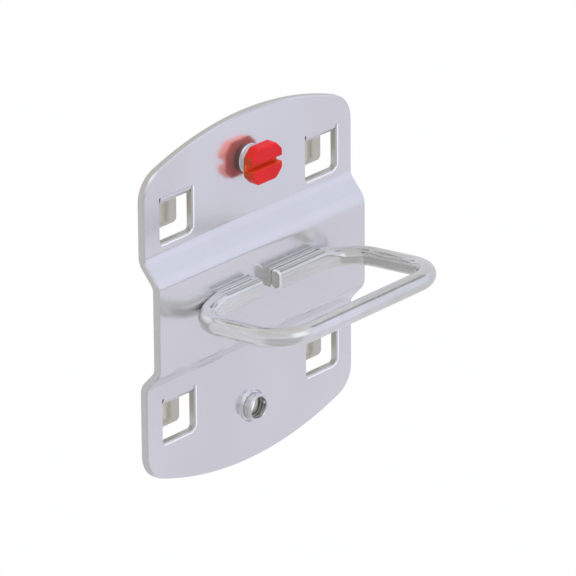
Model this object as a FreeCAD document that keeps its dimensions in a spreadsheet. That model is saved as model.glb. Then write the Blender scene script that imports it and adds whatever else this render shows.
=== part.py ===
import FreeCAD, Part
import math
import os
import re
from enum import IntEnum

import Sketcher
from FreeCAD import Placement, Rotation, Vector

# Sizes in millimetres and degrees.
# X runs along the width, Y points back into the panel and Z points up.
# The origin is the middle of the four hooks, on the plate's back face.
SIZES = {
    "sheet_thickness": 1.35,
    "side_margin": 4.2,
    "top_margin": 8.85,
    "bottom_margin": 10.35,
    "arch_radius": 68.6,
    "corner_radius": 5.6,
    "edge_bevel": 0.28,
    "band_centre": 0.3,
    "band_flat": 14.35,
    "band_rise": 3.3,
    "joggle_angle": 42.0,
    "joggle_radius": 2.1,
    "hook_pitch": 38.0,
    "hook_side_gap": 0.2,
    "window_height": 8.6,
    "window_bevel": 0.2,
    "window_corner": 0.7,
    "hook_width": 7.8,
    "hook_bend_radius": 0.5,
    "panel_gap": 2.25,
    "hook_tip_rise": 0.95,
    "hook_tip_radius": 0.9,
    "collar_offset": 4.75,
    "collar_diameter": 5.05,
    "collar_height": 1.85,
    "collar_foot": 0.2,
    "collar_rim": 0.3,
    "thread_diameter": 4.0,
    "mouth_chamfer": 0.15,
    "entry_chamfer": 0.45,
    "wire_diameter": 3.5,
    "loop_width": 41.0,
    "loop_reach": 21.7,
    "loop_corner": 6.2,
    "loop_tilt": 5.4,
    "loop_height": 0.9,
    "bar_lift": 0.93,
    "bar_thickness": 3.3,
    "bar_height": 3.75,
    "bar_edge_radius": 1.1,
    "bar_gap": 4.3,
    "bar_gap_shift": 1.5,
    "bar_inset": 1.3,
    "bar_end_bevel": 0.3,
    "blend_reach": 3.5,
    "weld_depth": 0.9,
    "weld_height": 3.6,
    "weld_radius": 0.4,
    "head_width": 7.9,
    "head_height": 6.8,
    "head_corner_cut": 1.6,
    "head_corner_radius": 0.9,
    "head_edge_bevel": 0.25,
    "head_thickness": 2.1,
    "head_clearance": 0.4,
    "slot_width": 1.25,
    "slot_depth": 1.5,
    "thread_clearance": 0.05,
    "tip_projection": 0.6,
    "tip_chamfer": 0.4,
}

# Sizes that follow from the ones above.
COLLAR_AXIS = "(hook_pitch / 2 + collar_offset)"
HALF_WIDTH = "((hook_pitch + hook_width) / 2 + hook_side_gap + side_margin)"
PLATE_TOP = "(hook_pitch / 2 + collar_offset + top_margin)"
PLATE_FOOT = "(hook_pitch / 2 + collar_offset + bottom_margin)"
OUTSIDE = "(2 * hook_pitch + top_margin + bottom_margin)"
STRAIGHT_END = "(loop_width / 2 - loop_corner)"
BAR_END = "(loop_width / 2 - loop_corner - bar_inset)"


class Test:
    """How closely the edge tests compare, in millimetres or as a share of a unit vector."""

    SAME_PLACE = 0.01
    BEYOND = 0.1
    SQUARE_TO = 0.01
    TURNED_TO = 0.5


class Spot(IntEnum):
    """The points of a sketch line or arc."""

    START = 1
    END = 2
    CENTRE = 3


class Axis(IntEnum):
    """A sketch's own axes."""

    LEVEL = -1
    UPRIGHT = -2


START, END, CENTRE = Spot
ORIGIN = (Axis.LEVEL, START)

DOC = FreeCAD.newDocument("tool_holder")
SHEET = DOC.addObject("Spreadsheet::Sheet", "Sizes")


def fill_sheet():
    """Writes every size into the spreadsheet as a plain number with an alias."""
    for row, (alias, value) in enumerate(SIZES.items(), start=1):
        SHEET.set(f"A{row}", alias.replace("_", " "))
        SHEET.set(f"B{row}", str(value))
        SHEET.setAlias(f"B{row}", alias)
    DOC.recompute()


def bound(expression):
    """Writes each size's name in an expression as its spreadsheet cell."""
    return re.sub(r"[a-z]+(_[a-z]+)+", r"Sizes.\g<0>", expression)


def worth(expression):
    """The expression's present value, for placing a sketch's lines before they are bound."""
    return float(SHEET.evalExpression(bound(expression)))


def bind(feature, **sizes):
    """Ties a feature's properties to expressions."""
    for name, expression in sizes.items():
        feature.setExpression(name, bound(expression))


def origin_part(body, role):
    """One of the body's own origin planes or axes."""
    return next(f for f in body.Origin.OriginFeatures if f.Role == role)


class Drawing:
    """A sketch in a body, with its sizes bound to the spreadsheet."""

    def __init__(self, body, name, plane=None, offset=None):
        self.sketch = body.newObject("Sketcher::SketchObject", name)
        self.sketch.Visibility = False
        if plane:
            self.sketch.AttachmentSupport = [(origin_part(body, plane), "")]
            self.sketch.MapMode = "FlatFace"
        if offset:
            self.sketch.setExpression(".AttachmentOffset.Base.z", bound(offset))

    def across(self, path, edge, along):
        """Puts the sketch square across a path's edge, at its start (0) or its end (1)."""
        self.sketch.AttachmentSupport = [(path.sketch, f"Edge{edge + 1}")]
        self.sketch.MapMode = "NormalToEdge"
        self.sketch.MapPathParameter = along

    def line(self, first, last):
        """Adds a straight line; gives its index, entry end and exit end."""
        segment = Part.LineSegment(Vector(*first, 0), Vector(*last, 0))
        return self.sketch.addGeometry(segment), START, END

    def arc(self, centre, first, last):
        """Adds the short arc between two points; gives its index, entry end and exit end."""
        spokes = [(p[0] - centre[0], p[1] - centre[1]) for p in (first, last)]
        a, b = (math.atan2(y, x) for x, y in spokes)
        turn = (b - a + math.pi) % (2 * math.pi) - math.pi
        circle = Part.Circle(Vector(*centre, 0), Vector(0, 0, 1), math.hypot(*spokes[0]))
        if turn > 0:
            return self.sketch.addGeometry(Part.ArcOfCircle(circle, a, b)), START, END
        return self.sketch.addGeometry(Part.ArcOfCircle(circle, b, a)), END, START

    def circle(self, centre, radius):
        """Adds a full circle; gives its index."""
        return self.sketch.addGeometry(Part.Circle(Vector(*centre, 0), Vector(0, 0, 1), radius))

    def rule(self, kind, *ids):
        """Adds a rule without a size."""
        return self.sketch.addConstraint(Sketcher.Constraint(kind, *ids))

    def size(self, kind, *ids, by):
        """Adds a rule whose size follows an expression."""
        value = worth(by)
        if kind == "Angle":
            value = math.radians(value)
        number = self.rule(kind, *ids, value)
        self.sketch.renameConstraint(number, f"size_{number}")
        self.sketch.setExpression(f"Constraints.size_{number}", bound(by))

    def follow(self, pieces, sharp=(), closed=True):
        """Joins pieces end to end with shared tangents, except after those listed as sharp."""
        last = len(pieces) if closed else len(pieces) - 1
        for i in range(last):
            index, _, leaves = pieces[i]
            following, enters, _ = pieces[(i + 1) % len(pieces)]
            self.rule("Coincident" if i in sharp else "Tangent", index, leaves, following, enters)

    def polygon(self, points):
        """Adds a closed run of level and upright sides; gives their indices."""
        ends = list(zip(points, points[1:] + points[:1]))
        sides = [self.line(p, q) for p, q in ends]
        self.follow(sides, sharp=range(len(sides)))
        for (side, _, _), (p, q) in zip(sides, ends):
            self.rule("Horizontal" if abs(p[1] - q[1]) < abs(p[0] - q[0]) else "Vertical", side)
        return [side for side, _, _ in sides]


def new_body(name):
    """A body whose label names the piece."""
    body = DOC.addObject("PartDesign::Body", name)
    body.Label = name
    return body


def add(body, kind, name, profile=None, **settings):
    """Adds a feature to a body, with its sketch and plain settings."""
    feature = body.newObject(f"PartDesign::{kind}", name)
    if profile:
        feature.Profile = profile.sketch
    for key, value in settings.items():
        setattr(feature, key, value)
    return feature


def joggle_section(body):
    """Half of the bent sheet's side profile: the raised band, the joggle and the flat above it."""
    t, rise, radius = (worth(s) for s in ("sheet_thickness", "band_rise", "joggle_radius"))
    middle, flat_end = worth("band_centre"), worth("band_centre + band_flat / 2")
    tilt = math.radians(worth("joggle_angle"))
    both = 2 * radius + t
    slant = (rise - both * (1 - math.cos(tilt))) / math.sin(tilt)
    low = (radius - rise, flat_end)
    high = (-t - radius, flat_end + slant * math.cos(tilt) + both * math.sin(tilt))
    top = worth(OUTSIDE)

    def skin(low_radius, high_radius):
        """One face of the sheet from the band up: upright, bend, slant, bend, upright."""
        foot = (low[0] - low_radius, middle)
        a = (low[0] - low_radius, low[1])
        b = (low[0] - low_radius * math.cos(tilt), low[1] + low_radius * math.sin(tilt))
        c = (high[0] + high_radius * math.cos(tilt), high[1] - high_radius * math.sin(tilt))
        d = (high[0] + high_radius, high[1])
        head = (d[0], top)
        pieces = [draw.line(foot, a), draw.arc(low, a, b), draw.line(b, c)]
        pieces += [draw.arc(high, c, d), draw.line(d, head)]
        return pieces

    draw = Drawing(body, "joggle_section", "YZ_Plane")
    back = skin(radius, radius + t)
    front = skin(radius + t, radius)
    top_end = draw.line((0, top), (-t, top))
    foot_end = draw.line((-rise - t, middle), (-rise, middle))
    draw.follow(back, closed=False)
    draw.follow(front, closed=False)
    draw.rule("Coincident", top_end[0], START, back[4][0], END)
    draw.rule("Coincident", top_end[0], END, front[4][0], END)
    draw.rule("Coincident", foot_end[0], START, front[0][0], START)
    draw.rule("Coincident", foot_end[0], END, back[0][0], START)
    for side in (back[0], back[4], front[0], front[4]):
        draw.rule("Vertical", side[0])
    for side in (top_end, foot_end):
        draw.rule("Horizontal", side[0])
    for bend in (1, 3):
        draw.rule("Coincident", back[bend][0], CENTRE, front[bend][0], CENTRE)
    draw.rule("PointOnObject", back[4][0], END, Axis.UPRIGHT)
    draw.size("DistanceX", front[4][0], END, *ORIGIN, by="sheet_thickness")
    draw.size("DistanceX", back[0][0], START, *ORIGIN, by="band_rise")
    draw.size("DistanceX", front[0][0], START, *ORIGIN, by="band_rise + sheet_thickness")
    draw.size("Radius", back[1][0], by="joggle_radius")
    draw.size("Radius", front[3][0], by="joggle_radius")
    draw.size("Angle", back[2][0], by="90 - joggle_angle")
    draw.size("DistanceY", *ORIGIN, back[0][0], START, by="band_centre")
    draw.size("DistanceY", *ORIGIN, back[1][0], CENTRE, by="band_centre + band_flat / 2")
    draw.size("DistanceY", *ORIGIN, back[4][0], END, by=OUTSIDE)
    return draw


def plate_outline(body):
    """The blanked outline: straight sides, rounded corners and two wide arches, in a frame."""
    half, corner, arch = worth(HALF_WIDTH), worth("corner_radius"), worth("arch_radius")
    inset = half - corner
    drop = math.sqrt((arch - corner) ** 2 - inset ** 2)
    draw = Drawing(body, "plate_outline", "XZ_Plane")

    def end(sign, reach):
        """One arched end, from the side it starts on to the other."""
        hub = (0, sign * (reach - arch))
        turn = sign * (reach - arch + drop)
        scale = arch / (arch - corner)
        joint = (inset * scale, hub[1] + sign * drop * scale)
        start, finish = (-sign * half, turn), (sign * half, turn)
        first, last = (-sign * joint[0], joint[1]), (sign * joint[0], joint[1])
        return [
            draw.arc((-sign * inset, turn), start, first),
            draw.arc(hub, first, last),
            draw.arc((sign * inset, turn), last, finish),
        ], start, finish

    above, left_top, right_top = end(1, worth(PLATE_TOP))
    below, right_foot, left_foot = end(-1, worth(PLATE_FOOT))
    right = draw.line(right_top, right_foot)
    left = draw.line(left_foot, left_top)
    draw.follow([*above, right, *below, left])
    for side in (left, right):
        draw.rule("Vertical", side[0])
    for hub in (above[1], below[1]):
        draw.rule("PointOnObject", hub[0], CENTRE, Axis.UPRIGHT)
    draw.size("Radius", above[1][0], by="arch_radius")
    draw.rule("Equal", above[1][0], below[1][0])
    draw.size("Radius", above[0][0], by="corner_radius")
    for corner_arc in (above[2], below[0], below[2]):
        draw.rule("Equal", above[0][0], corner_arc[0])
    draw.size("DistanceY", above[1][0], CENTRE, *ORIGIN, by="arch_radius - " + PLATE_TOP)
    draw.size("DistanceY", *ORIGIN, below[1][0], CENTRE, by="arch_radius - " + PLATE_FOOT)
    draw.size("DistanceX", *ORIGIN, right[0], END, by=HALF_WIDTH)
    draw.size("DistanceX", left[0], END, *ORIGIN, by=HALF_WIDTH)
    far = worth(OUTSIDE)
    frame = draw.polygon([(-far, -far), (far, -far), (far, far), (-far, far)])
    draw.size("DistanceX", frame[0], START, *ORIGIN, by=OUTSIDE)
    draw.size("DistanceX", *ORIGIN, frame[1], START, by=OUTSIDE)
    draw.size("DistanceY", frame[0], START, *ORIGIN, by=OUTSIDE)
    draw.size("DistanceY", *ORIGIN, frame[2], START, by=OUTSIDE)
    return draw


def hook_window(body):
    """The hole a hook is bent out of, square at the bend and rounded at its foot."""
    x, z, corner = worth("hook_pitch / 2"), worth("hook_pitch / 2"), worth("window_corner")
    half = worth("hook_width / 2 + hook_side_gap")
    foot, bend = z - worth("window_height / 2"), z + worth("window_height / 2")
    draw = Drawing(body, "hook_window", "XZ_Plane")
    left = draw.line((x - half, bend), (x - half, foot + corner))
    left_foot = draw.arc((x - half + corner, foot + corner),
                         (x - half, foot + corner), (x - half + corner, foot))
    low = draw.line((x - half + corner, foot), (x + half - corner, foot))
    right_foot = draw.arc((x + half - corner, foot + corner),
                          (x + half - corner, foot), (x + half, foot + corner))
    right = draw.line((x + half, foot + corner), (x + half, bend))
    bend_line = draw.line((x + half, bend), (x - half, bend))
    draw.follow([left, left_foot, low, right_foot, right, bend_line], sharp=(4, 5))
    for side in (low, bend_line):
        draw.rule("Horizontal", side[0])
    for side in (left, right):
        draw.rule("Vertical", side[0])
    draw.size("Radius", left_foot[0], by="window_corner")
    draw.rule("Equal", left_foot[0], right_foot[0])
    draw.size("DistanceX", *ORIGIN, left[0], START, by="(hook_pitch - hook_width) / 2 - hook_side_gap")
    draw.size("DistanceX", *ORIGIN, right[0], END, by="(hook_pitch + hook_width) / 2 + hook_side_gap")
    draw.size("DistanceY", *ORIGIN, low[0], START, by="(hook_pitch - window_height) / 2")
    draw.size("DistanceY", *ORIGIN, bend_line[0], START, by="(hook_pitch + window_height) / 2")
    return draw


def hook_bend(body):
    """The hook's side profile: back from the window's top edge, then down behind the panel."""
    t, radius, gap = (worth(s) for s in ("sheet_thickness", "hook_bend_radius", "panel_gap"))
    top = worth("(hook_pitch + window_height) / 2")
    near = (radius, top)
    far = (gap - radius, top - 2 * radius - t)
    draw = Drawing(body, "hook_bend", "YZ_Plane", offset="hook_pitch / 2")
    root = draw.line((-t, top), (0, top))
    near_in = draw.arc(near, (0, top), (radius, top - radius))
    over = draw.line((radius, top - radius), (far[0], top - radius))
    far_out = draw.arc(far, (far[0], top - radius), (gap + t, far[1]))
    foot = draw.line((gap + t, far[1]), (gap, far[1]))
    far_in = draw.arc(far, (gap, far[1]), (far[0], far[1] + radius))
    under = draw.line((far[0], far[1] + radius), (radius, far[1] + radius))
    near_out = draw.arc(near, (radius, far[1] + radius), (-t, top))
    draw.follow([root, near_in, over, far_out, foot, far_in, under, near_out], sharp=(0, 3, 4, 7))
    for side in (root, over, foot, under):
        draw.rule("Horizontal", side[0])
    draw.rule("Coincident", near_in[0], CENTRE, near_out[0], CENTRE)
    draw.rule("Coincident", far_in[0], CENTRE, far_out[0], CENTRE)
    draw.rule("Horizontal", near_in[0], CENTRE, root[0], END)
    draw.rule("Horizontal", far_in[0], CENTRE, foot[0], END)
    draw.size("Radius", near_in[0], by="hook_bend_radius")
    draw.rule("Equal", near_in[0], far_in[0])
    draw.rule("PointOnObject", root[0], END, Axis.UPRIGHT)
    draw.size("DistanceX", root[0], START, root[0], END, by="sheet_thickness")
    draw.size("DistanceY", *ORIGIN, root[0], END, by="(hook_pitch + window_height) / 2")
    draw.size("DistanceX", *ORIGIN, foot[0], END, by="panel_gap")
    return draw


def hook_leg(body):
    """The hook's flat leg behind the panel, with rounded lower corners."""
    x, half, tip = worth("hook_pitch / 2"), worth("hook_width / 2"), worth("hook_tip_radius")
    top = worth("(hook_pitch + window_height) / 2 - 2 * hook_bend_radius - sheet_thickness")
    foot = worth("(hook_pitch - window_height) / 2 + hook_tip_rise")
    draw = Drawing(body, "hook_leg", "XZ_Plane", offset="-panel_gap")
    head = draw.line((x + half, top), (x - half, top))
    left = draw.line((x - half, top), (x - half, foot + tip))
    left_tip = draw.arc((x - half + tip, foot + tip), (x - half, foot + tip), (x - half + tip, foot))
    low = draw.line((x - half + tip, foot), (x + half - tip, foot))
    right_tip = draw.arc((x + half - tip, foot + tip), (x + half - tip, foot), (x + half, foot + tip))
    right = draw.line((x + half, foot + tip), (x + half, top))
    draw.follow([head, left, left_tip, low, right_tip, right], sharp=(0, 5))
    for side in (head, low):
        draw.rule("Horizontal", side[0])
    for side in (left, right):
        draw.rule("Vertical", side[0])
    draw.size("Radius", left_tip[0], by="hook_tip_radius")
    draw.rule("Equal", left_tip[0], right_tip[0])
    draw.size("DistanceX", *ORIGIN, head[0], START, by="(hook_pitch + hook_width) / 2")
    draw.size("DistanceX", *ORIGIN, head[0], END, by="(hook_pitch - hook_width) / 2")
    crown = "(hook_pitch + window_height) / 2 - 2 * hook_bend_radius - sheet_thickness"
    draw.size("DistanceY", *ORIGIN, head[0], START, by=crown)
    draw.size("DistanceY", *ORIGIN, low[0], START, by="(hook_pitch - window_height) / 2 + hook_tip_rise")
    return draw


def collar_boss(body):
    """The drawn collar's outside, to be turned about its axis, with a sloping foot and rim."""
    axis = worth(COLLAR_AXIS)
    t, height, radius = (worth(s) for s in ("sheet_thickness", "collar_height", "collar_diameter / 2"))
    foot, rim = worth("collar_foot"), worth("collar_rim")
    face, mouth = -t, -t - height
    draw = Drawing(body, "collar_boss", "YZ_Plane")
    points = [
        (face / 2, axis), (face / 2, axis + radius + foot), (face, axis + radius + foot),
        (face - foot, axis + radius), (mouth + rim, axis + radius), (mouth, axis + radius - rim),
        (mouth, axis),
    ]
    run = [draw.line(p, q) for p, q in zip(points, points[1:] + points[:1])]
    draw.follow(run, sharp=range(len(run)))
    inside, step, slope, wall, shoulder, end, spin = (piece[0] for piece in run)
    for side in (inside, end):
        draw.rule("Vertical", side)
    for side in (step, wall, spin):
        draw.rule("Horizontal", side)
    for incline, size in ((slope, "collar_foot"), (shoulder, "collar_rim")):
        draw.size("DistanceX", incline, END, incline, START, by=size)
        draw.size("DistanceY", incline, END, incline, START, by=size)
    draw.size("DistanceY", *ORIGIN, spin, END, by=COLLAR_AXIS)
    draw.size("DistanceY", *ORIGIN, wall, START, by=COLLAR_AXIS + " + collar_diameter / 2")
    draw.size("DistanceX", inside, START, *ORIGIN, by="sheet_thickness / 2")
    draw.size("DistanceX", step, END, *ORIGIN, by="sheet_thickness")
    draw.size("DistanceX", end, START, *ORIGIN, by="sheet_thickness + collar_height")
    return draw, spin


def collar_bore(body):
    """The collar's hole, widened a little at its mouth and more where the draw began."""
    axis, bore = worth(COLLAR_AXIS), worth("thread_diameter / 2")
    mouth_cut, entry = worth("mouth_chamfer"), worth("entry_chamfer")
    mouth, out = -worth("sheet_thickness + collar_height"), worth("thread_diameter")
    draw = Drawing(body, "collar_bore", "YZ_Plane")
    points = [
        (mouth - out, axis), (mouth - out, axis + bore + mouth_cut), (mouth, axis + bore + mouth_cut),
        (mouth + mouth_cut, axis + bore), (-entry, axis + bore), (0, axis + bore + entry),
        (out, axis + bore + entry), (out, axis),
    ]
    run = [draw.line(p, q) for p, q in zip(points, points[1:] + points[:1])]
    draw.follow(run, sharp=range(len(run)))
    side, land, slope, wall, flare, exit_wall, back_side, spin = (piece[0] for piece in run)
    for upright in (side, back_side):
        draw.rule("Vertical", upright)
    for level in (land, wall, exit_wall, spin):
        draw.rule("Horizontal", level)
    draw.rule("PointOnObject", exit_wall, START, Axis.UPRIGHT)
    draw.size("DistanceY", *ORIGIN, spin, END, by=COLLAR_AXIS)
    draw.size("DistanceY", *ORIGIN, wall, START, by=COLLAR_AXIS + " + thread_diameter / 2")
    draw.size("DistanceY", slope, END, slope, START, by="mouth_chamfer")
    draw.size("DistanceX", slope, START, slope, END, by="mouth_chamfer")
    draw.size("DistanceY", flare, START, flare, END, by="entry_chamfer")
    draw.size("DistanceX", flare, START, flare, END, by="entry_chamfer")
    draw.size("DistanceX", land, END, *ORIGIN, by="sheet_thickness + collar_height")
    draw.size("DistanceX", side, START, land, END, by="thread_diameter")
    draw.size("DistanceX", *ORIGIN, back_side, START, by="thread_diameter")
    return draw, spin


def turned(body, kind, name, drawing, axis):
    """A full revolution or groove about a line of its own sketch."""
    feature = add(body, kind, name, drawing, Angle=360.0)
    feature.ReferenceAxis = (drawing.sketch, [f"Edge{axis + 1}"])
    return feature


def repeat(body, name, originals, **spans):
    """Repeats features once along the body's axes, towards their negative ends."""
    pattern = add(body, "LinearPattern", name, Originals=originals)
    for suffix, (axis, span) in zip(("", "2"), spans.items()):
        setattr(pattern, "Direction" + suffix, (origin_part(body, f"{axis}_Axis"), [""]))
        setattr(pattern, "Reversed" + suffix, True)
        setattr(pattern, "Occurrences" + suffix, 2)
        bind(pattern, **{"Length" + suffix: span})
    body.Tip = pattern
    return pattern


def dress(body, kind, name, size, test):
    """A fillet or chamfer on those of the body's present edges whose middle passes a test."""
    DOC.recompute()
    base = body.Tip
    names = []
    for number, edge in enumerate(base.Shape.Edges, start=1):
        if test(edge, edge.valueAt(sum(edge.ParameterRange) / 2)):
            names.append(f"Edge{number}")
    feature = add(body, kind, name, Base=(base, names))
    bind(feature, **{"Radius" if kind == "Fillet" else "Size": size})
    return feature


def build_plate():
    """The bent steel plate with its four hooks and two drawn collars."""
    body = new_body("mounting_plate")
    sheet = add(body, "Pad", "bent_sheet", joggle_section(body), SideType="Symmetric")
    bind(sheet, Length="2 * " + OUTSIDE)
    middle = body.newObject("PartDesign::Plane", "band_middle")
    middle.AttachmentSupport = [(origin_part(body, "XY_Plane"), "")]
    middle.MapMode = "FlatFace"
    middle.setExpression(".AttachmentOffset.Base.z", bound("band_centre"))
    lower = add(body, "Mirrored", "lower_half", Originals=[sheet], MirrorPlane=(middle, [""]))
    body.Tip = lower
    cut = {"Type": "ThroughAll", "SideType": "Symmetric"}
    add(body, "Pocket", "outline_cut", plate_outline(body), **cut)
    window = add(body, "Pocket", "window_cut", hook_window(body), **cut)
    repeat(body, "window_cuts", [window], X="hook_pitch", Z="hook_pitch")
    DOC.recompute()
    reach_x = worth("(hook_pitch + hook_width) / 2 + hook_side_gap")
    reach_z = worth("hook_pitch / 2 + window_height")
    middle_z, half_height = worth("hook_pitch / 2"), worth("window_height / 2")
    punched = body.Tip.Shape

    def on_front_rim(edge, spot):
        """True where a face turned to the front meets a wall cut square through the sheet."""
        leans = []
        for face in punched.ancestorsOfType(edge, Part.Face):
            leans.append(face.normalAt(*face.Surface.parameter(spot)).y)
        return min(leans) < -Test.TURNED_TO and abs(max(leans)) < Test.SQUARE_TO

    def in_window(spot):
        return abs(spot.x) < reach_x + Test.BEYOND and abs(spot.z) < reach_z

    def outer_rim(edge, spot):
        return not in_window(spot) and on_front_rim(edge, spot)

    def on_bend_line(spot):
        return any(abs(spot.z - middle - half_height) < Test.SAME_PLACE for middle in (middle_z, -middle_z))

    def window_rim(edge, spot):
        return in_window(spot) and not on_bend_line(spot) and on_front_rim(edge, spot)

    dress(body, "Chamfer", "outline_bevel", "edge_bevel", outer_rim)
    DOC.recompute()
    punched = body.Tip.Shape
    dress(body, "Chamfer", "window_bevels", "window_bevel", window_rim)
    bend = add(body, "Pad", "hook_bend_pad", hook_bend(body), SideType="Symmetric")
    bind(bend, Length="hook_width")
    leg = add(body, "Pad", "hook_leg_pad", hook_leg(body), Reversed=True)
    bind(leg, Length="sheet_thickness")
    repeat(body, "hooks", [bend, leg], X="hook_pitch", Z="hook_pitch")
    boss_drawing, boss_axis = collar_boss(body)
    boss = turned(body, "Revolution", "collar", boss_drawing, boss_axis)
    bore_drawing, bore_axis = collar_bore(body)
    bore = turned(body, "Groove", "collar_hole", bore_drawing, bore_axis)
    repeat(body, "collars", [boss, bore], Z="2 * " + COLLAR_AXIS)
    return body


def tilted(draw):
    """Leans a drawing on the level plane up towards the loop's front."""
    draw.sketch.AttachmentOffset = Placement(Vector(), Rotation(Vector(-1, 0, 0), worth("loop_tilt")))
    draw.sketch.setExpression(".AttachmentOffset.Rotation.Angle", bound("loop_tilt"))


def corner_start():
    """Where the wire is round again, beyond the bar: along the bar, and off its line."""
    corner, reach = worth("loop_corner"), worth("blend_reach")
    return worth(STRAIGHT_END) + reach, math.sqrt(corner ** 2 - reach ** 2) - corner


def loop_path(body):
    """The round wire's centre line, from one back corner round the front to the other."""
    side, reach, corner = worth("loop_width / 2"), worth("loop_reach"), worth("loop_corner")
    straight = side - corner
    begin_x, begin_y = corner_start()
    draw = Drawing(body, "loop_path", "XY_Plane")
    tilted(draw)
    left_back = draw.arc((-straight, -corner), (-begin_x, begin_y), (-side, -corner))
    left_arm = draw.line((-side, -corner), (-side, corner - reach))
    left_front = draw.arc((-straight, corner - reach), (-side, corner - reach), (-straight, -reach))
    front = draw.line((-straight, -reach), (straight, -reach))
    right_front = draw.arc((straight, corner - reach), (straight, -reach), (side, corner - reach))
    right_arm = draw.line((side, corner - reach), (side, -corner))
    right_back = draw.arc((straight, -corner), (side, -corner), (begin_x, begin_y))
    draw.follow([left_back, left_arm, left_front, front, right_front, right_arm, right_back],
                closed=False)
    draw.rule("Horizontal", front[0])
    for upright in (left_arm, right_arm):
        draw.rule("Vertical", upright[0])
    draw.size("Radius", left_back[0], by="loop_corner")
    for corner_arc in (left_front, right_front, right_back):
        draw.rule("Equal", left_back[0], corner_arc[0])
    draw.size("DistanceX", left_arm[0], START, *ORIGIN, by="loop_width / 2")
    draw.size("DistanceX", *ORIGIN, right_arm[0], START, by="loop_width / 2")
    draw.size("DistanceY", front[0], START, *ORIGIN, by="loop_reach")
    draw.size("DistanceY", left_back[0], CENTRE, *ORIGIN, by="loop_corner")
    draw.size("DistanceY", right_back[0], CENTRE, *ORIGIN, by="loop_corner")
    draw.size("DistanceX", left_back[0], left_back[1], *ORIGIN, by=STRAIGHT_END + " + blend_reach")
    draw.size("DistanceX", *ORIGIN, right_back[0], right_back[2], by=STRAIGHT_END + " + blend_reach")
    return draw, left_back[0]


def blend_path(body, name, sign):
    """The centre line of one blend, from the bar's end into the back corner beside it."""
    corner, straight, bar = worth("loop_corner"), worth(STRAIGHT_END), worth(BAR_END)
    finish_x, finish_y = corner_start()
    draw = Drawing(body, name, "XY_Plane")
    tilted(draw)
    stub = draw.line((sign * bar, 0), (sign * straight, 0))
    bend = draw.arc((sign * straight, -corner), (sign * straight, 0), (sign * finish_x, finish_y))
    draw.follow([stub, bend], closed=False)
    draw.rule("Horizontal", stub[0])
    draw.rule("PointOnObject", stub[0], START, Axis.LEVEL)
    draw.size("Radius", bend[0], by="loop_corner")
    for index, end, reach in ((stub[0], START, BAR_END), (stub[0], END, STRAIGHT_END),
                              (bend[0], bend[2], STRAIGHT_END + " + blend_reach")):
        ends = (index, end, *ORIGIN) if sign < 0 else (*ORIGIN, index, end)
        draw.size("DistanceX", *ends, by=reach)
    return draw, bend


def round_section(body, name, path, edge, along):
    """The wire's round section, square across a path."""
    draw = Drawing(body, name)
    draw.across(path, edge, along)
    ring = draw.circle((0, 0), worth("wire_diameter / 2"))
    draw.rule("Coincident", ring, CENTRE, *ORIGIN)
    draw.size("Diameter", ring, by="wire_diameter")
    return draw


def pressed_section(body, name, offset, depth, height, radius, front="wire_diameter / 2 - bar_thickness"):
    """A block with rounded corners, standing across the bar, as the welding press leaves it."""
    near, far = worth(front), worth(f"{front} + {depth}")
    half, corner, lift = worth(f"{height} / 2"), worth(radius), worth("bar_lift")
    low, high = lift - half, lift + half
    draw = Drawing(body, name, "YZ_Plane", offset=offset)
    foot = draw.line((near + corner, low), (far - corner, low))
    low_back = draw.arc((far - corner, low + corner), (far - corner, low), (far, low + corner))
    back = draw.line((far, low + corner), (far, high - corner))
    high_back = draw.arc((far - corner, high - corner), (far, high - corner), (far - corner, high))
    top = draw.line((far - corner, high), (near + corner, high))
    high_front = draw.arc((near + corner, high - corner), (near + corner, high), (near, high - corner))
    face = draw.line((near, high - corner), (near, low + corner))
    low_front = draw.arc((near + corner, low + corner), (near, low + corner), (near + corner, low))
    draw.follow([foot, low_back, back, high_back, top, high_front, face, low_front])
    for level in (foot, top):
        draw.rule("Horizontal", level[0])
    for upright in (back, face):
        draw.rule("Vertical", upright[0])
    draw.size("Radius", low_back[0], by=radius)
    for corner_arc in (high_back, high_front, low_front):
        draw.rule("Equal", low_back[0], corner_arc[0])
    draw.size("DistanceX", *ORIGIN, back[0], START, by=f"{front} + {depth}")
    draw.size("DistanceX", face[0], START, back[0], START, by=depth)
    draw.size("DistanceY", *ORIGIN, top[0], START, by=f"bar_lift + {height} / 2")
    draw.size("DistanceY", foot[0], START, top[0], START, by=height)
    return draw


def gap_outline(body):
    """The gap between the wire's two ends, seen from the front."""
    left, right = worth("-bar_gap_shift - bar_gap / 2"), worth("bar_gap / 2 - bar_gap_shift")
    reach = worth("bar_height")
    draw = Drawing(body, "gap_outline", "XZ_Plane")
    low, right_side, high, _ = draw.polygon([(left, -reach), (right, -reach), (right, reach), (left, reach)])
    draw.size("DistanceX", low, START, *ORIGIN, by="bar_gap / 2 + bar_gap_shift")
    draw.size("DistanceX", high, END, right_side, END, by="bar_gap")
    draw.size("DistanceY", low, START, *ORIGIN, by="bar_height")
    draw.size("DistanceY", *ORIGIN, high, END, by="bar_height")
    return draw


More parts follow.
